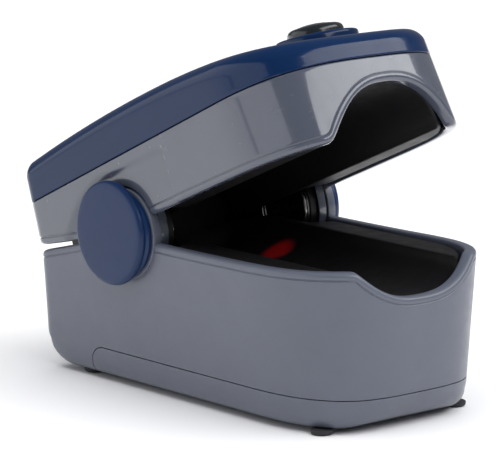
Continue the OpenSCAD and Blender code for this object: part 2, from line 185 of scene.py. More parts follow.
def finish_mesh(ob, angle=32):
    me = ob.data
    bm = bmesh.new()
    bm.from_mesh(me)
    bmesh.ops.remove_doubles(bm, verts=bm.verts, dist=2e-7)
    bmesh.ops.dissolve_degenerate(bm, dist=2e-7, edges=bm.edges)
    bm.to_mesh(me)
    bm.free()
    me.polygons.foreach_set("use_smooth", [True] * len(me.polygons))
    me.set_sharp_from_angle(angle=math.radians(angle))
    me.update()
    return ob


def rings(rs, cap0=True, cap1=True):
    """Closed loops of equal length joined into a tube, capped at either end."""
    n = len(rs[0])
    v = np.concatenate(rs)
    f = []
    for i in range(len(rs) - 1):
        a, b = i * n, (i + 1) * n
        for k in range(n):
            f.append((a + k, a + (k + 1) % n, b + (k + 1) % n, b + k))
    if cap0:
        f.append(tuple(range(n - 1, -1, -1)))
    if cap1:
        f.append(tuple((len(rs) - 1) * n + k for k in range(n)))
    return v, f


def lathe(profile, axis, origin, n=96, tr=base, cap=True):
    """Turns (radius, height) points round an axis of the hinge frame."""
    axis = Vector(axis).normalized()
    u = axis.orthogonal().normalized()
    w = axis.cross(u)
    a = np.arange(n) * 2 * math.pi / n
    rs = []
    u, w, ax = np.array(u), np.array(w), np.array(axis)
    for r, h in profile:
        r = max(r, 1e-5)
        rs.append(tr(np.array(origin) + ax * h + np.outer(np.cos(a), u) * r + np.outer(np.sin(a), w) * r))
    return rings(rs, cap, cap)


def fil(cx, cz, r, a0, a1, k=6):
    """Points of a fillet in a lathe profile."""
    return [(cx + r * math.cos(math.radians(a0 + (a1 - a0) * i / k)), cz + r * math.sin(math.radians(a0 + (a1 - a0) * i / k))) for i in range(k + 1)]


def join_geo(parts):
    vs, fs, o = [], [], 0
    for v, f in parts:
        vs.append(np.asarray(v))
        fs += [tuple(i + o for i in q) for q in f]
        o += len(v)
    return np.concatenate(vs), fs


def boolean(ob, geo, op):
    tool = make("tool", geo[0], geo[1])
    m = ob.modifiers.new("b", "BOOLEAN")
    m.object, m.operation, m.solver = tool, op, "EXACT"
    dg = bpy.context.evaluated_depsgraph_get()
    me = bpy.data.meshes.new_from_object(ob.evaluated_get(dg))
    ob.modifiers.clear()
    old = ob.data
    ob.data = me
    bpy.data.meshes.remove(old)
    tm = tool.data
    bpy.data.objects.remove(tool)
    bpy.data.meshes.remove(tm)
    return ob


def prism_y(poly, half, tr=base, y0=None, y1=None):
    y0 = -half if y0 is None else y0
    y1 = half if y1 is None else y1
    p = np.array(poly, float)
    a = np.column_stack([p[:, 0], np.full(len(p), y0), p[:, 1]])
    b = np.column_stack([p[:, 0], np.full(len(p), y1), p[:, 1]])
    return rings([tr(a), tr(b)])


def both(fn):
    return join_geo([fn(1), fn(-1)])


def cyl(r, y0, y1, tr, n=96, e=0.0):
    """Cylinder along Y with edges rounded by e, on the side given by the sign of y."""
    prof = [(0, y0), (r - e, y0)] + (fil(r - e, y0 + e, e, -90, 0, 4) if e else [(r, y0)]) + (fil(r - e, y1 - e, e, 0, 90, 4) if e else [(r, y1)]) + [(0, y1)]
    return lambda s: lathe(prof, (0, s, 0), (0, 0, 0), n, tr)


# ------------------------------------------------------------------ outline of the two cases
XB, RR, NX, NY = 21.8, 2.2, 2.8, 3.1


def _front_ts(n):
    t = np.linspace(0, math.pi / 2, 4001)
    x = 17.2 * np.sin(t) ** (2 / NX)
    y = 15.4 * np.cos(t) ** (2 / NY)
    s = np.concatenate([[0], np.cumsum(np.hypot(np.diff(x), np.diff(y)))])
    return np.interp(np.linspace(0, s[-1], n), s, t)


SIDE_X = np.concatenate([np.linspace(-15.5, 10.7, 40), np.arange(10.9, 12.35, 0.1), np.linspace(12.6, XB, 18)[:-1]])
REAR_F = np.linspace(0, 1, 9)[:-1]
COR_A = np.linspace(0, math.pi / 2, 11)[:-1]
FRONT_T = _front_ts(84)
KIND = np.array([0] * len(REAR_F) + [1] * len(COR_A) + [2] * len(SIDE_X) + [3] * len(FRONT_T))
PAR = np.concatenate([REAR_F, COR_A, SIDE_X, FRONT_T])
M = len(KIND)


def half_outline(w, xf, xr):
    x, y = np.zeros(M), np.zeros(M)
    w, xf, xr = (np.broadcast_to(q, (M,)) for q in (w, xf, xr))
    k = KIND == 0
    x[k], y[k] = xr[k], PAR[k] * (w[k] - RR)
    k = KIND == 1
    x[k], y[k] = xr[k] + RR - RR * np.cos(PAR[k]), w[k] - RR + RR * np.sin(PAR[k])
    k = KIND == 2
    x[k], y[k] = xr[k] + RR + (PAR[k] + 15.5) / (XB + 15.5) * (XB - xr[k] - RR), w[k]
    k = KIND == 3
    c = np.clip(np.cos(PAR[k]), 0, 1)
    x[k], y[k] = XB + (xf[k] - XB) * np.sin(PAR[k]) ** (2 / NX), w[k] * c ** (2 / NY)
    y[0] = 0.0
    y[-1] = 0.0
    return x, y


def full(a):
    return np.concatenate([a, a[-2:0:-1]])


def full_y(a):
    return np.concatenate([a, -a[-2:0:-1]])


_x, _y = half_outline(15.4, 39.0, -19.0)
X0, Y0 = full(_x), full_y(_y)
_tx, _ty = np.roll(X0, -1) - np.roll(X0, 1), np.roll(Y0, -1) - np.roll(Y0, 1)
_l = np.hypot(_tx, _ty)
NXV, NYV = -_ty / _l, _tx / _l
NXV, NYV = np.where(NXV * (X0 - 5) + NYV * Y0 < 0, -NXV, NXV), np.where(NXV * (X0 - 5) + NYV * Y0 < 0, -NYV, NYV)
ARC = np.concatenate([[0], np.cumsum(np.hypot(np.diff(X0), np.diff(Y0)))])


def low_dims(z):
    return 15.4 - 0.076 * (-0.5 - z), 39 - 0.045 * (-0.5 - z), -19.0 + 0 * z


def up_dims(z):
    k = (z - 0.8) / 17
    return 15.6 - 0.34 * k, 38.5 - 2.55 * k, -19.0 + 0.85 * k


def ring(dims, z, inset):
    """Ring of the case at per-column height z, moved inwards by inset."""
    z = np.broadcast_to(z, X0.shape).astype(float)
    h = M
    w, xf, xr = dims(z[:h])
    x, y = half_outline(w, xf, xr)
    x, y = full(x), full_y(y)
    return np.column_stack([x - NXV * inset, y - NYV * inset, z])


def soft(g, e=0.12):
    return 0.5 * (g + np.sqrt(g * g + e * e))


def slope_k(zt):
    d = np.gradient(zt, ARC)
    return np.sqrt(1 + d * d)


# rim heights
NOTCH_L, NOTCH_U = 3.95, 6.5
RIM_L = -0.5 - 0.256 * 0.5 * ((-1 - X0) + np.sqrt((-1 - X0) ** 2 + 0.6)) * 1.0
RIM_L = RIM_L + 0.0006 * np.maximum(0, X0 - 8) ** 2
RIM_L = RIM_L - np.where(X0 > 0, NOTCH_L * soft(1 - np.abs(Y0 / 9.75) ** 2.6), 0)
RIM_U = 0.8 + 0.185 * 0.5 * ((-4.7 - X0) + np.sqrt((-4.7 - X0) ** 2 + 0.6))
RIM_U = RIM_U + np.where(X0 > 0, NOTCH_U * soft(1 - np.abs((Y0 - 0.5) / 10.2) ** 2.45), 0)
KL, KU = slope_k(RIM_L), slope_k(RIM_U)
BOT = -19.9
WALL = 1.6


def seam_z(x):
    return 9.45 + 0.03 * x


def top_z(x):
    return 15.9 - np.where(x < 12, 0.0019, 0.0033) * (x - 12) ** 2


# groove and rounded lip of a rim, as (distance from the rim's edge, inset)
GROOVE = [(1.22, 0.0), (1.10, 0.02), (1.04, 0.09), (0.97, 0.12), (0.90, 0.09), (0.84, 0.02), (0.74, 0.0)]
LIP = [(0.62 * (1 - math.sin(a)), 0.62 * (1 - math.cos(a))) for a in np.radians([0, 15, 30, 45, 60, 75, 90])]
LIPIN = [(0.35 * (1 - math.cos(a)), WALL - 0.35 + 0.35 * math.sin(a)) for a in np.radians([0, 22, 45, 68, 90])]


# ------------------------------------------------------------------ lower case and battery door
def lift(x):
    """Rise of the underside towards the rounded front and rear."""
    f = 5 - np.sqrt(np.clip(25 - np.clip(x - 33.6, 0, 4.92) ** 2, 0, None))
    r = 5 - np.sqrt(np.clip(25 - np.clip(-14.1 - x, 0, 4.92) ** 2, 0, None))
    return f + r


def spine(r, t, x0=-14.0, x1=30.0):
    sx = np.clip(r[:, 0], x0, x1)
    return np.column_stack([r[:, 0] + (sx - r[:, 0]) * t, r[:, 1] * (1 - t), r[:, 2]])


def lower_solid():
    rs = []
    rf = 1.8
    flat = ring(low_dims, BOT, rf)

    def under(r, up=0.0, k=1.0):
        r = r.copy()
        r[:, 2] = BOT + up + k * lift(r[:, 0])
        return r
    for t in (1.0, 0.8, 0.6, 0.4, 0.25, 0.15, 0.09, 0.05, 0.02):
        rs.append(under(spine(flat, t)))
    for a in np.radians([0, 11, 22, 34, 45, 56, 68, 79, 90]):
        rs.append(under(ring(low_dims, BOT, rf * (1 - math.sin(a))), rf * (1 - math.cos(a))))
    z0, z1 = rs[-1][:, 2], RIM_L - 1.4 * KL
    z0 = np.minimum(z0, z1 - 0.5)
    for j in range(1, 19):
        rs.append(ring(low_dims, z0 + (z1 - z0) * j / 18, 0))
    for d, i in GROOVE + LIP:
        rs.append(ring(low_dims, RIM_L - d * KL, i))
    rs.append(ring(low_dims, RIM_L, 1.0))
    for d, i in LIPIN:
        rs.append(ring(low_dims, RIM_L - d * KL, i))
    z0 = RIM_L - 0.8 * KL
    floor = ring(low_dims, BOT, WALL + 0.8)
    z1 = BOT + WALL + 0.8 + lift(ring(low_dims, BOT, WALL)[:, 0])
    for j in range(0, 9):
        rs.append(ring(low_dims, z0 + (z1 - z0) * j / 8, WALL))
    for a in np.radians([60, 30, 0]):
        rs.append(under(ring(low_dims, BOT, WALL + 0.8 * (1 - math.sin(a))), WALL + 0.8 * (1 - math.cos(a))))
    for t in (0.1, 0.3, 0.6, 1.0):
        rs.append(under(spine(floor, t), WALL))
    return rings([base(r) for r in rs], False, False)


def door_poly(g):
    r = 2.4 + g
    cx, cz = -8.6 - g + r, -16.1 + g - r
    return [(45, -23), (45, -16.1 + g)] + [(cx + r * math.cos(a), cz + r * math.sin(a)) for a in np.radians(np.linspace(90, 180, 13))] + [(-8.6 - g, -23)]


LOW = lower_solid()
lower = make("lower_case", *LOW)
door = make("battery_door_skin", *LOW)
boolean(lower, prism_y(door_poly(0.13), 20), "DIFFERENCE")
boolean(door, prism_y(door_poly(0.0), 20), "INTERSECT")
boolean(lower, both(cyl(6.3, 9.0, 14.06, base)), "DIFFERENCE")
boolean(lower, both(cyl(5.8, 14.1, 15.38, base, e=0.12)), "UNION")
boolean(lower, both(cyl(1.5, 13.0, 17.0, base, 32)), "DIFFERENCE")


# ------------------------------------------------------------------ upper case
def recess(z):
    x = X0
    arch = 7.9 - 0.05 * np.maximum(0, -1 - x) ** 2
    a = 1 - sstep(arch - 0.55, arch + 0.55, z)
    xc = 11.8 - 0.056 * (z - 1.2)
    b = 1 - sstep(-0.11, 0.11, x - xc)
    return 0.42 * a * b * np.where(x > -13.5, 1, 0)


def upper_solid():
    rs = []
    shelf = lambda x: 8.45 + 0.03 * x
    zc = shelf(X0) - 0.8
    z0, z1 = zc, RIM_U + 0.8 * KU
    z0 = np.maximum(z0, z1 + 0.3)
    for j in range(0, 7):
        rs.append(ring(up_dims, z0 + (z1 - z0) * j / 6, WALL))
    for d, i in LIPIN[::-1]:
        rs.append(ring(up_dims, RIM_U + d * KU, i))
    rs.append(ring(up_dims, RIM_U, 1.0))
    for d, i in (GROOVE + LIP)[::-1]:
        z = RIM_U + d * KU
        rs.append(ring(up_dims, z, i + recess(z) * (1 if i < 0.5 else 0.6)))
    z0, z1 = RIM_U + 1.4 * KU, seam_z(X0) - 0.05 - 0.18
    for j in range(0, 25):
        z = z0 + (z1 - z0) * j / 24
        rs.append(ring(up_dims, z, recess(z)))
    zt = seam_z(X0) - 0.05
    for a in np.radians([22, 45, 68, 90]):
        rs.append(ring(up_dims, zt - 0.18 * (1 - math.sin(a)), 0.18 * (1 - math.cos(a))))
    rs.append(ring(up_dims, zt, 1.0))
    rs.append(ring(up_dims, zt, WALL))
    rs.append(ring(up_dims, np.minimum(shelf(X0), zt - 0.3), WALL))
    return rings([jaw(r) for r in rs])


upper = make("upper_case", *upper_solid())
boolean(upper, both(cyl(6.1, 14.05, 18.0, jaw)), "DIFFERENCE")
web = join_geo([prism_y([(-5.6, 0), (5.6, 0), (5.6, 8.0), (-5.6, 8.0)], 0, jaw, s * 12.7, s * 14.0) for s in (1, -1)])
boolean(upper, web, "UNION")
boolean(upper, both(cyl(5.6, 12.7, 14.0, jaw, e=0.12)), "UNION")
boolean(upper, both(cyl(3.5, 11.05, 12.8, jaw, 64)), "UNION")
boolean(upper, both(cyl(1.55, 10.0, 15.0, jaw, 32)), "DIFFERENCE")


# ------------------------------------------------------------------ top cover
def cover_solid():
    rf = 2.3 * NYV ** 2 + np.where(NXV > 0, 1.6, 1.6) * NXV ** 2
    rs = []

    def spine(r, t):
        sx = np.clip(r[:, 0], -14.0, 30.0)
        return np.column_stack([r[:, 0] + (sx - r[:, 0]) * t, r[:, 1] * (1 - t), r[:, 2]])

    def over(r, drop):
        r = r.copy()
        r[:, 2] = top_z(r[:, 0]) - drop
        return r

    zs = seam_z(X0) + 0.05
    z_in = zs * 0 + 13.0
    # inner skin from the spine out and down
    base_in = ring(up_dims, z_in, 1.4 + 1.1)
    for t in (1.0, 0.7, 0.4, 0.2, 0.08, 0.0):
        rs.append(over(spine(base_in, t), 1.35))
    for a in np.radians([60, 30, 0]):
        r = ring(up_dims, z_in, 1.4 + 1.1 * (1 - math.cos(a)))
        r[:, 2] = top_z(r[:, 0]) - 1.35 - 1.1 * (1 - math.sin(a))
        rs.append(r)
    zi = top_z(X0) - 2.6
    for j in range(0, 4):
        rs.append(ring(up_dims, zi + (zs - zi) * j / 3, 1.4))
    rs.append(ring(up_dims, zs, 0.6))
    for a in np.radians([90, 60, 30, 0]):
        rs.append(ring(up_dims, zs + 0.18 * (1 - math.sin(a)), 0.18 * (1 - math.cos(a))))
    r_top = ring(up_dims, top_z(X0) - rf, 0)
    z1 = r_top[:, 2]
    for j in range(1, 9):
        rs.append(ring(up_dims, zs + 0.18 + (z1 - zs - 0.18) * j / 8, 0))
    for a in np.radians(np.arange(9, 91, 9)):
        r = ring(up_dims, top_z(X0) - rf * (1 - math.sin(a)), rf * (1 - math.cos(a)))
        r[:, 2] = top_z(r[:, 0]) - rf * (1 - math.sin(a))
        rs.append(r)
    last = rs[-1]
    for t in (0.05, 0.12, 0.22, 0.35, 0.5, 0.7, 0.85, 1.0):
        rs.append(over(spine(last, t), 0))
    return rings([jaw(r) for r in rs], False, False)


cover = make("top_cover_skin", *cover_solid())

BX = 27.6
TILT = math.atan(2 * 0.0033 * (BX - 12))
BZ = float(top_z(np.array(BX)))
BAX = (math.sin(TILT), 0, math.cos(TILT))
BO = (BX, 0, BZ)


def rrect(x0, x1, h, r, k=8):
    pts = []
    for cx, cy, a0 in ((x1 - r, h - r, 0), (x0 + r, h - r, 90), (x0 + r, -h + r, 180), (x1 - r, -h + r, 270)):
        pts += [(cx + r * math.cos(math.radians(a0 + 90 * i / k)), cy + r * math.sin(math.radians(a0 + 90 * i / k))) for i in range(k + 1)]
    return np.array(pts)


def prism_z(p, z0, z1, tr=jaw):
    return rings([tr(np.column_stack([p, np.full(len(p), z0)])), tr(np.column_stack([p, np.full(len(p), z1)]))])


collar = lathe([(0, -0.9), (5.3, -0.9)] + fil(5.3 - 0.45, 1.0 - 0.45, 0.45, 0, 90, 6) + [(4.3, 1.0)] + fil(4.1, 0.75, 0.25, 90, 100, 1) + [(0, 1.0)], BAX, BO, 96, jaw)
boolean(cover, collar, "UNION")
boolean(cover, lathe([(0, -4), (3.85, -4), (3.85, 0.72), (4.15, 1.02), (4.15, 3), (0, 3)], BAX, BO, 96, jaw), "DIFFERENCE")
boolean(cover, prism_z(rrect(-10.62, 12.62, 8.62, 1.5), 10, 19), "DIFFERENCE")


# display window, a gently curved pane with a softened rim
def window_geo():
    rs = []
    base_p = rrect(-10.5, 12.5, 8.5, 1.4)
    c = np.array([1.0, 0.0])

    def lay(p, dz):
        return jaw(np.column_stack([p, top_z(p[:, 0]) + dz]))

    def ins(d):
        return rrect(-10.5 + d, 12.5 - d, 8.5 - d, max(1.4 - d, 0.15))
    rs.append(lay(c + (ins(0.4) - c) * 0.02, -1.0))
    for t in (0.4, 0.8):
        rs.append(lay(c + (ins(0.4) - c) * t, -1.0))
    rs.append(lay(ins(0.1), -1.0))
    rs.append(lay(base_p, -0.9))
    for a in np.radians([0, 22, 45, 68, 90]):
        rs.append(lay(ins(0.28 * (1 - math.cos(a))), -0.12 - 0.28 * (1 - math.sin(a))))
    for t in (0.85, 0.7, 0.5, 0.3, 0.15, 0.02):
        rs.append(lay(c + (ins(0.28) - c) * t, -0.12 + 0.06 * (1 - t ** 2)))
    return rings(rs)


window = make("display_pane", *window_geo())

# button
prof = [(0, -2.4), (1.6, -2.4), (1.6, -2.2), (4.2, -2.2), (4.3, -2.1), (4.3, -1.75), (3.7, -1.75), (3.6, -1.65), (3.6, 1.35)]
for i in range(1, 13):
    t = math.radians(90 * i / 12)
    prof.append((3.6 * (1 - 0.30 * (1 - math.cos(t)) - 0.0) if False else 2.75 + 0.85 * math.cos(t), 1.35 + 0.85 * math.sin(t)))
for r in (2.3, 1.7, 1.1, 0.5, 0.0):
    prof.append((r, 2.2 + 0.36 * (1 - (r / 2.75) ** 2)))
button = make("power_button_cap", *lathe(prof, BAX, BO, 96, jaw))


# ------------------------------------------------------------------ finger pads
def pad_geo(z0f, s, a, b, zback, w_in, xf_in, tr, open_rear=False):
    th = np.linspace(-math.pi / 2, math.pi / 2, 45)
    ytr = a * np.sin(th)
    side = a + (w_in - a) * np.sin(np.linspace(0, math.pi / 2, 15))[1:]
    side = np.concatenate([[a + 0.06, a + 0.16, a + 0.3], side[side > a + 0.35]])
    ys = np.concatenate([-side[::-1], ytr, side])
    xr = -9.6
    sg = np.concatenate([np.linspace(0, 0.985, 70), 1 - np.array([0.012, 0.008, 0.005, 0.003, 0.0015, 0.0006, 0.0])])
    xend = XB + (xf_in - XB) * np.clip(1 - (np.abs(ys) / w_in) ** NY, 0, 1) ** (1 / NX)
    SG, YS = np.meshgrid(sg, ys, indexing="ij")
    X = xr + SG * (xend[None, :] - xr)
    wx = 10.62 + (w_in - 10.62) * sstep(6.9, 7.6, X)
    Y = np.where(np.abs(YS) > a, np.sign(YS) * (a + (np.abs(YS) - a) * (wx - a) / (w_in - a)), YS)
    depth = b * np.sqrt(np.clip(1 - (Y / a) ** 2, 0, 1)) ** 1.05
    rear = sstep(-8.4, -5.6, X) if not open_rear else np.ones_like(X)
    depth = depth * rear
    # edge of the trough rolls over
    dist = np.minimum.reduce([wx - np.abs(Y), (xend[None, :] - X) * 0.85, X - xr])
    R = 0.7
    d = np.clip(dist, 0, R)
    roll = R - np.sqrt(np.clip(R * R - (R - d) ** 2, 0, None))
    g = np.clip((np.abs(Y) - a) / 0.45, 0, 1)
    lipr = np.where(np.abs(Y) >= a, 0.30 * (1 - np.sqrt(np.clip(1 - (1 - g) ** 2, 0, 1))), 0.30)
    lipr = lipr * rear
    if open_rear:
        depth = np.minimum(depth, b - 0.02)
    Z = z0f(X) + s * (depth + roll + lipr)
    Z = np.minimum(Z, zback - 0.1) if s > 0 else np.maximum(Z, zback + 0.1)
    P = np.stack([X, Y, Z], -1)
    nr, nc = Z.shape
    v = P.reshape(-1, 3)
    f = [(i * nc + j, i * nc + j + 1, (i + 1) * nc + j + 1, (i + 1) * nc + j) for i in range(nr - 1) for j in range(nc - 1)]
    edge = [j for j in range(nc)] + [i * nc + nc - 1 for i in range(1, nr)] + [(nr - 1) * nc + j for j in range(nc - 2, -1, -1)] + [i * nc for i in range(nr - 2, 0, -1)]
    low = v[edge].copy()
    low[:, 2] = zback
    mid = (v[edge] + low) / 2
    o1, o2, ne = len(v), len(v) + len(edge), len(edge)
    v = np.concatenate([v, mid, low])
    for k in range(ne):
        k2 = (k + 1) % ne
        f.append((edge[k], edge[k2], o1 + k2, o1 + k))
        f.append((o1 + k, o1 + k2, o2 + k2, o2 + k))
    f.append(tuple(o2 + k for k in range(ne)))
    return tr(v), f


def stop_geo():
    """Tongue at the rear of the lower pad that closes the finger channel."""
    rs = []
    n = 49
    th = np.linspace(0, math.pi, n)
    for x, k in ((-9.38, 0.93), (-9.34, 0.965), (-9.22, 0.99), (-9.0, 1.0), (-8.6, 1.0), (-8.38, 0.99), (-8.26, 0.965), (-8.22, 0.93)):
        y = 8.4 * k * np.cos(th)
        z = -0.75 + 3.2 * k * np.sin(th)
        ys = np.concatenate([y, [-8.4 * k, 8.4 * k]])
        zs = np.concatenate([z, [-5.0, -5.0]])
        rs.append(base(np.column_stack([np.full(len(ys), x), ys, zs])))
    return rings(rs)


def zl(x):
    return -0.75 - 0.256 * 0.5 * ((-1 - x) + np.sqrt((-1 - x) ** 2 + 0.4))


def zu(x):
    return 1.05 + 0.185 * 0.5 * ((-4.7 - x) + np.sqrt((-4.7 - x) ** 2 + 0.4))


pad_low = make("lower_pad_silicone", *pad_geo(zl, -1, 8.75, 4.1, -6.93, 13.62, 37.1, base))
boolean(pad_low, stop_geo(), "UNION")
pad_up = make("upper_pad_silicone", *pad_geo(zu, 1, 9.1, 6.2, 8.18, 13.82, 36.6, jaw, open_rear=True))


def lens_geo(z0, s, a, b, tr):
    """Window that follows the trough of the pad, a hair above it."""
    rs = []
    c = np.array([3.0, 0.0])

    def lay(p, h):
        z = b * np.sqrt(1 - (p[:, 1] / a) ** 2) ** 1.05 + 0.30
        return tr(np.column_stack([p, z0 + s * (z - h)]))
    out = rrect(-0.5, 6.5, 3.0, 1.2)
    rs.append(lay(c + (out - c) * 0.03, -0.7))
    rs.append(lay(out, -0.7))
    rs.append(lay(out, 0.0))
    for k in (0.97, 0.93):
        rs.append(lay(c + (out - c) * k, 0.05 if k > 0.95 else 0.07))
    for k in (0.7, 0.45, 0.2, 0.03):
        rs.append(lay(c + (out - c) * k, 0.08))
    return rings(rs)


lens_d = make("detector_lens", *lens_geo(-0.75, -1, 8.75, 4.1, base))
lens_e = make("emitter_lens", *lens_geo(1.05, 1, 9.1, 6.2, jaw))


# ------------------------------------------------------------------ hinge caps, springs, feet
def cap_geo(s):
    pr = [(0, 15.78), (3.0, 15.78), (5.8, 15.8)] + fil(6.2, 16.3, 0.5, -90, -8, 6) + fil(6.02, 16.27, 0.68, 3, 84, 9) + [(5.4, 16.955), (4.2, 16.985), (2.4, 17.0), (0, 17.005)]
    return lathe(pr, (0, s, 0), (-1.6, 0, 0), 128, base)


def boss_geo(s):
    return lathe([(0, 15.43), (5.0, 15.43)] + fil(5.32, 15.58, 0.18, -60, 0, 3) + [(5.5, 15.9), (5.2, 16.2), (0, 16.2)], (0, s, 0), (0, 0, 0), 96, base)


cap_l = make("hinge_disc_left", *cap_geo(1))
cap_r = make("hinge_disc_right", *cap_geo(-1))
boolean(cap_l, boss_geo(1), "UNION")
boolean(cap_r, boss_geo(-1), "UNION")
sleeves = make("spring_sleeves", *both(lambda s: lathe([(4.9, 11.62), (5.05, 11.55), (5.2, 11.62), (5.2, 12.66), (4.9, 12.66), (4.9, 11.62)], (0, s, 0), (0, 0, 0), 64, jaw, cap=False)))


def tube(pts, r, n=12, tr=base):
    pts = np.array(pts, float)
    t = np.gradient(pts, axis=0)
    t /= np.linalg.norm(t, axis=1)[:, None]
    rs = []
    ref = np.array([0.0, 1.0, 0.0])
    for p, q in zip(pts, t):
        u = np.cross(q, ref)
        u /= np.linalg.norm(u)
        w = np.cross(q, u)
        a = np.arange(n) * 2 * math.pi / n
        rs.append(tr(p + r * (np.outer(np.cos(a), u) + np.outer(np.sin(a), w))))
    return rings(rs)


def spring_geo(s):
    a = np.radians(np.linspace(277, 1151, 190))
    f = np.linspace(0, 1, 190)
    coil = np.column_stack([4.5 * np.cos(a), 11.18 + 1.22 * f, 4.5 * np.sin(a)])
    p0, p1 = coil[0], coil[-1]
    leg0 = np.array([[-5.6, 11.18, -3.55], [-4.2, 11.18, -3.75], [-2.6, 11.18, -4.05], [-1.0, 11.18, -4.35]])
    leg1 = np.array([[0.5, 12.40, 4.55], [-0.6, 12.40, 4.9], [-1.8, 12.40, 5.3]])
    p = np.concatenate([leg0, coil, leg1])
    p[:, 1] *= s
    return tube(p, 0.24)


spr_l = make("hinge_spring_left", *spring_geo(1))
spr_r = make("hinge_spring_right", *spring_geo(-1))


def foot_geo(x, y):
    pr = [(0, -20.5), (1.0, -20.5)] + fil(1.05, -20.15, 0.35, -90, 0, 5) + [(1.4, -20.0), (1.42, -19.92), (1.3, -19.85), (0, -19.85)]
    return lathe(pr, (0, 0, 1), (x, y, 0), 40, base)


feet_f = make("front_rubber_feet", *join_geo([foot_geo(32.8, 11.2), foot_geo(32.8, -11.2)]))
feet_r = make("rear_rubber_feet", *join_geo([foot_geo(-11.6, 11.2), foot_geo(-11.6, -11.2)]))

# ------------------------------------------------------------------ materials
def lin(c):
    return tuple((x / 255 / 12.92) if x / 255 <= 0.04045 else ((x / 255 + 0.055) / 1.055) ** 2.4 for x in c)


def mul(c, k):
    return tuple(min(1, x * k) for x in c)


def material(name, col, rough, var=0.06, var_scale=260, grain=5200, bump=0.04, coat=0.0, coat_rough=0.08, metallic=0.0,
             wear=0.25, wear_col=None, spec=0.5, rough_var=0.06, transmission=0.0, stretch=None, ior=1.5, sheen=0.0, flecks=0.0, painted_red_glow=None):
    m = bpy.data.materials.new(name)
    m.use_nodes = True
    nt = m.node_tree
    N, L = nt.nodes, nt.links
    N.clear()
    out = N.new("ShaderNodeOutputMaterial")
    p = N.new("ShaderNodeBsdfPrincipled")
    L.new(p.outputs[0], out.inputs[0])
    p.inputs["Metallic"].default_value = metallic
    p.inputs["IOR"].default_value = ior
    p.inputs["Coat Weight"].default_value = coat
    p.inputs["Coat Roughness"].default_value = coat_rough
    p.inputs["Specular IOR Level"].default_value = spec
    p.inputs["Sheen Weight"].default_value = sheen
    p.inputs["Transmission Weight"].default_value = transmission
    tc = N.new("ShaderNodeTexCoord")
    src = tc.outputs["Object"]
    if stretch:
        mp = N.new("ShaderNodeMapping")
        mp.inputs["Scale"].default_value = stretch
        L.new(src, mp.inputs[0])
        src = mp.outputs[0]

    def noise(scale, detail=3, rgh=0.55):
        n = N.new("ShaderNodeTexNoise")
        n.inputs["Scale"].default_value = scale
        n.inputs["Detail"].default_value = detail
        n.inputs["Roughness"].default_value = rgh
        L.new(src, n.inputs["Vector"])
        return n.outputs["Fac"]

    def rng(v, a, b, lo, hi):
        r = N.new("ShaderNodeMapRange")
        r.inputs[1].default_value, r.inputs[2].default_value = a, b
        r.inputs[3].default_value, r.inputs[4].default_value = lo, hi
        L.new(v, r.inputs[0])
        return r.outputs[0]

    def mix(f, a, b):
        x = N.new("ShaderNodeMix")
        x.data_type = "RGBA"
        L.new(f, x.inputs[0])
        for s, c in ((x.inputs[6], a), (x.inputs[7], b)):
            if isinstance(c, tuple):
                s.default_value = (*c, 1)
            else:
                L.new(c, s)
        return x.outputs[2]

    c = mix(rng(noise(var_scale), 0.3, 0.7, 0, 1), mul(col, 1 - var), mul(col, 1 + var))
    c = mix(rng(noise(grain * 0.6, 2), 0.42, 0.62, 0, max(0.25, flecks)), c, mul(col, 1 + 1.6 * var + flecks))
    if wear > 0:
        # paler, rubbed edges: where a rounded normal leaves the true one
        geo = N.new("ShaderNodeNewGeometry")
        bev = N.new("ShaderNodeBevel")
        bev.samples = 4
        bev.inputs["Radius"].default_value = 0.00022
        dot = N.new("ShaderNodeVectorMath")
        dot.operation = "DOT_PRODUCT"
        L.new(bev.outputs[0], dot.inputs[0])
        L.new(geo.outputs["Normal"], dot.inputs[1])
        c = mix(rng(dot.outputs["Value"], 0.985, 0.80, 0, wear), c, wear_col or mul(col, 1.6))
    L.new(c, p.inputs["Base Color"])
    L.new(rng(noise(var_scale * 2.3), 0.3, 0.7, max(0.02, rough - rough_var), rough + rough_var), p.inputs["Roughness"])
    b = N.new("ShaderNodeBump")
    b.inputs["Strength"].default_value = min(1.0, bump * 10)
    b.inputs["Distance"].default_value = 0.00001
    L.new(noise(grain, 2), b.inputs["Height"])
    L.new(b.outputs[0], p.inputs["Normal"])
    if painted_red_glow:
        # painted red glow: a soft patch of emitted light painted on the surface where the emitter's red light falls,
        # held in the object's own coordinates
        at, rad, colour, power = painted_red_glow
        sep = N.new("ShaderNodeVectorMath")
        sep.operation = "SUBTRACT"
        L.new(tc.outputs["Object"], sep.inputs[0])
        sep.inputs[1].default_value = at
        sc = N.new("ShaderNodeVectorMath")
        sc.operation = "MULTIPLY"
        L.new(sep.outputs[0], sc.inputs[0])
        sc.inputs[1].default_value = tuple(1 / q for q in rad)
        ln = N.new("ShaderNodeVectorMath")
        ln.operation = "LENGTH"
        L.new(sc.outputs[0], ln.inputs[0])
        r = N.new("ShaderNodeMapRange")
        r.interpolation_type = "SMOOTHERSTEP"
        r.inputs[1].default_value, r.inputs[2].default_value = 0.35, 1.0
        r.inputs[3].default_value, r.inputs[4].default_value = power, 0.0
        L.new(ln.outputs["Value"], r.inputs[0])
        p.inputs["Emission Color"].default_value = (*colour, 1)
        L.new(r.outputs[0], p.inputs["Emission Strength"])
    return m


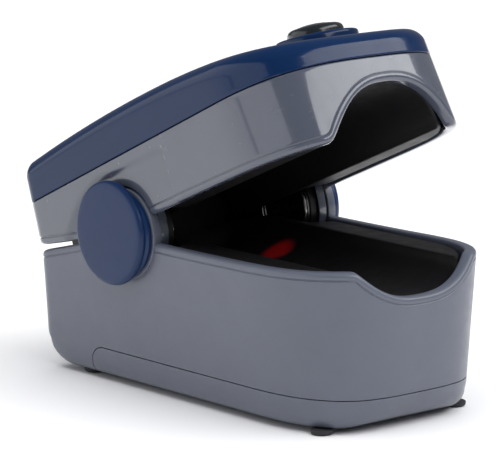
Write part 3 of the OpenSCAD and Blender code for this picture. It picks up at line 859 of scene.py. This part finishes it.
GREY = lin((89, 94, 108))
GREY_U = lin((74, 79, 93))
BLUE = lin((3, 35, 74))
M_low = material("case_grey", GREY, 0.38, var=0.03, grain=9000, bump=0.03, coat=0.3, coat_rough=0.2, wear=0.3)
M_up = material("case_grey_gloss", GREY_U, 0.22, var=0.03, grain=9000, bump=0.01, coat=1.0, coat_rough=0.05, wear=0.08)
M_blue = material("cover_blue", BLUE, 0.2, var=0.05, grain=9000, bump=0.012, coat=0.3, coat_rough=0.06, spec=0.2, wear=0.25, wear_col=mul(BLUE, 1.7))
M_cap = material("cap_blue", lin((6, 38, 80)), 0.38, var=0.05, grain=9000, bump=0.03, coat=0.15, coat_rough=0.25, spec=0.3, wear=0.3, wear_col=mul(BLUE, 1.8))
# painted red glow: the lower pad's material emits a soft red patch where the emitter's light falls on it
red_glow_centre = base((5.4, 5.8, -4.4))
M_pad = material("pad_silicone", (0.008, 0.0075, 0.0085), 0.5, var=0.18, grain=7000, bump=0.06, wear=0.15, wear_col=(0.014, 0.014, 0.015), spec=0.3)
M_pad_glow = material("pad_silicone_painted_glow", (0.008, 0.0075, 0.0085), 0.5, var=0.18, grain=7000, bump=0.06, wear=0.15, wear_col=(0.014, 0.014, 0.015), spec=0.3,
                   painted_red_glow=(tuple(red_glow_centre), (0.0026, 0.0034, 0.0027), (1.0, 0.0, 0.0), 0.055))
M_button = material("button_black", lin((20, 26, 31)), 0.28, var=0.1, grain=9000, bump=0.03, coat=0.5, wear=0.3)
M_foot = material("foot_rubber", lin((52, 53, 57)), 0.75, var=0.12, grain=4000, bump=0.1, spec=0.3)
M_inner = material("inner_plastic", lin((58, 60, 66)), 0.55, var=0.06, grain=6000, bump=0.06)
M_steel = material("steel", (0.20, 0.20, 0.21), 0.26, var=0.05, grain=8000, bump=0.03, metallic=1.0, stretch=(1, 6, 1))
M_black = material("inner_black", (0.006, 0.006, 0.007), 0.4, var=0.15, grain=6000, bump=0.05, wear=0.15, wear_col=(0.02, 0.02, 0.02), spec=0.35)
M_spring = material("spring_steel", (0.55, 0.54, 0.52), 0.13, var=0.04, grain=8000, bump=0.02, metallic=1.0)
M_cell = material("cell_jacket", lin((46, 96, 74)), 0.3, var=0.06, grain=6000, bump=0.02, coat=0.5)
M_pcb = material("circuit_board", lin((24, 84, 52)), 0.45, var=0.14, grain=3000, bump=0.05, coat=0.3)
M_flex = material("flex_film", lin((176, 112, 40)), 0.35, var=0.08, grain=5000, bump=0.03, coat=0.3)
M_sensor = material("sensor_window", (0.03, 0.003, 0.003), 0.12, var=0.1, grain=8000, bump=0.01, coat=0.8, wear=0.1, wear_col=(0.08, 0.01, 0.01))
M_disp = material("display_black", lin((14, 17, 26)), 0.4, var=0.1, grain=5000, bump=0.02)
M_glass = material("display_glass", (0.006, 0.007, 0.011), 0.06, var=0.1, grain=9000, bump=0.004, coat=1.0, coat_rough=0.02, rough_var=0.02, wear=0.1, wear_col=(0.03, 0.03, 0.04))

# ------------------------------------------------------------------ assembly of the looks
def place(ob, body, slot, mat, *nodes, angle=32):
    finish_mesh(ob, angle)
    ob.data.materials.clear()
    ob.data.materials.append(mat)
    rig.ride(ob, body)
    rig.slot(ob, slot)
    if nodes:
        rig.replaces(ob, *nodes)
    return ob


place(lower, "base", "case_grey", M_low, "lower_shell")
place(door, "battery_door", "case_grey", M_low, "battery_cover")
place(upper, "jaw", "case_grey_gloss", M_up, "upper_shell")
# the spring arbors and the roof behind the pad are black
upper.data.materials.append(M_black)
_hy, _hz = HINGE[0] * 0.001, HINGE[2] * 0.001
for f in upper.data.polygons:
    cx, cy, cz = f.center
    if abs(cy) < 0.01272 and math.hypot(cx - _hy, cz - _hz) < 0.0054:
        f.material_index = 1
place(sleeves, "jaw", "inner_plastic", M_black)


def shade_flap_geo():
    """Thin black flaps at the rear corners of the jaw that close the gap behind the hinge, put in as painted shade so
    the slit there stays dark.
    """
    geos = []
    for s in (-1, 1):
        plan = [(-11.8, 6.0), (-11.8, 14.8), (-6.2, 14.8), (-6.2, 14.4), (-11.4, 14.4), (-11.4, 6.0)]
        geos.append(rings([jaw(np.array([(x, s * y, z) for x, y in plan])) for z in (-0.2, 4.2, 4.2001, 5.0)]))
    return join_geo(geos)


# black flaps that stand in for the shade in the rear slit behind the hinge
place(make("rear_painted_shade_flaps", *shade_flap_geo()), "jaw", "inner_plastic", M_black)
place(cover, "jaw", "cover_blue", M_blue, "top_cover")
place(window, "jaw", "display_glass", M_glass, "display_window")
place(button, "button", "button_black", M_button, "power_button")
place(pad_low, "base", "pad_silicone", M_pad_glow, "lower_finger_pad", angle=50)
place(pad_up, "jaw", "pad_silicone", M_pad, "upper_finger_pad", angle=50)
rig.padded(pad_low, fill=1.0)
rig.padded(pad_up, fill=1.0)
place(lens_d, "base", "sensor_window", M_sensor, "detector_window")
place(lens_e, "jaw", "sensor_window", M_sensor, "emitter_window")
place(cap_l, "base", "cap_blue", M_cap, "hinge_cap_left")
place(cap_r, "base", "cap_blue", M_cap, "hinge_cap_right")
place(spr_l, "base", "spring_steel", M_spring, "torsion_spring_left", angle=60)
place(spr_r, "base", "spring_steel", M_spring, "torsion_spring_right", angle=60)
place(feet_f, "battery_door", "foot_rubber", M_foot, "front_feet")
place(feet_r, "base", "foot_rubber", M_foot, "rear_feet")

CAD_MATS = {
    "battery_tray": M_inner, "tray_screws": M_steel, "jaw_screws": M_steel, "battery_left": M_cell, "battery_right": M_cell,
    "contact_springs": M_spring, "contact_plates": M_steel, "sensor_board": M_pcb, "emitter_board": M_pcb, "main_board": M_pcb,
    "hinge_pin_left": M_steel, "hinge_pin_right": M_steel, "flex_cable": M_flex, "display_module": M_disp, "tact_switch": M_steel,
}
for n, m in CAD_MATS.items():
    ob = NODES[n]
    if not ob.material_slots:
        ob.data.materials.append(m)
    for s in ob.material_slots:
        s.material = m

# ------------------------------------------------------------------ floor, light, camera
me = bpy.data.meshes.new("studio_floor")
R = 4.0
me.from_pydata([(-R, -R, 0), (R, -R, 0), (R, R, 0), (-R, R, 0)], [], [(0, 1, 2, 3)])
floor = bpy.data.objects.new("studio_floor", me)
bpy.context.scene.collection.objects.link(floor)
fm = bpy.data.materials.new("floor_pale")
fm.use_nodes = True
fp = fm.node_tree.nodes["Principled BSDF"]
fp.inputs["Base Color"].default_value = (0.92, 0.92, 0.93, 1)
fp.inputs["Roughness"].default_value = 0.9
fp.inputs["Specular IOR Level"].default_value = 0.1
me.materials.append(fm)
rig.stage(floor)

world = bpy.data.worlds.new("studio")
bpy.context.scene.world = world
world.use_nodes = True
bg = world.node_tree.nodes["Background"]
bg.inputs[0].default_value = (0.95, 0.96, 1.0, 1)
bg.inputs[1].default_value = 0.2


def area(name, at, to, size, size_y, power, colour=(1, 1, 1)):
    d = bpy.data.lights.new(name, "AREA")
    d.shape = "RECTANGLE"
    d.size, d.size_y, d.energy, d.color = size, size_y, power, colour
    o = bpy.data.objects.new(name, d)
    bpy.context.scene.collection.objects.link(o)
    o.location = at
    o.rotation_mode = "QUATERNION"
    o.rotation_quaternion = (Vector(to) - Vector(at)).to_track_quat("-Z", "Y")
    return o


def polar(az, el, d):
    a, e = math.radians(az), math.radians(el)
    return (d * math.cos(a) * math.cos(e), d * math.sin(a) * math.cos(e), 0.03 + d * math.sin(e))


area("overhead", (0.0, 0.0, 1.5), (0, 0, 0), 2.2, 2.2, 30).visible_glossy = False
area("left_soft", polar(-125, 17, 1.5), (0, 0, 0.03), 2.5, 0.9, 6.6)
area("right_soft", polar(28, 43, 1.4), (0, 0, 0.03), 2.2, 0.62, 14)

cam = bpy.data.cameras.new("camera")
cam.sensor_width = 36
cam.lens = 255.2
cam.clip_start, cam.clip_end = 0.01, 50
co = bpy.data.objects.new("camera", cam)
bpy.context.scene.collection.objects.link(co)
co.location = tuple(HINGE * 0.001 + np.array([0.344165, -0.290895, 0.085362]))
co.rotation_mode = "QUATERNION"
co.rotation_quaternion = Vector((-0.7440, 0.6408, -0.1893)).to_track_quat("-Z", "Y")
bpy.context.scene.camera = co
bpy.context.scene.view_settings.view_transform = "Standard"

lo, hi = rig.bounds()
try:
    json.dump({"cad": [list(CAD_LO), list(CAD_HI)], "visual": [list(lo), list(hi)]}, open("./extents.json", "w"))
except OSError:
    pass
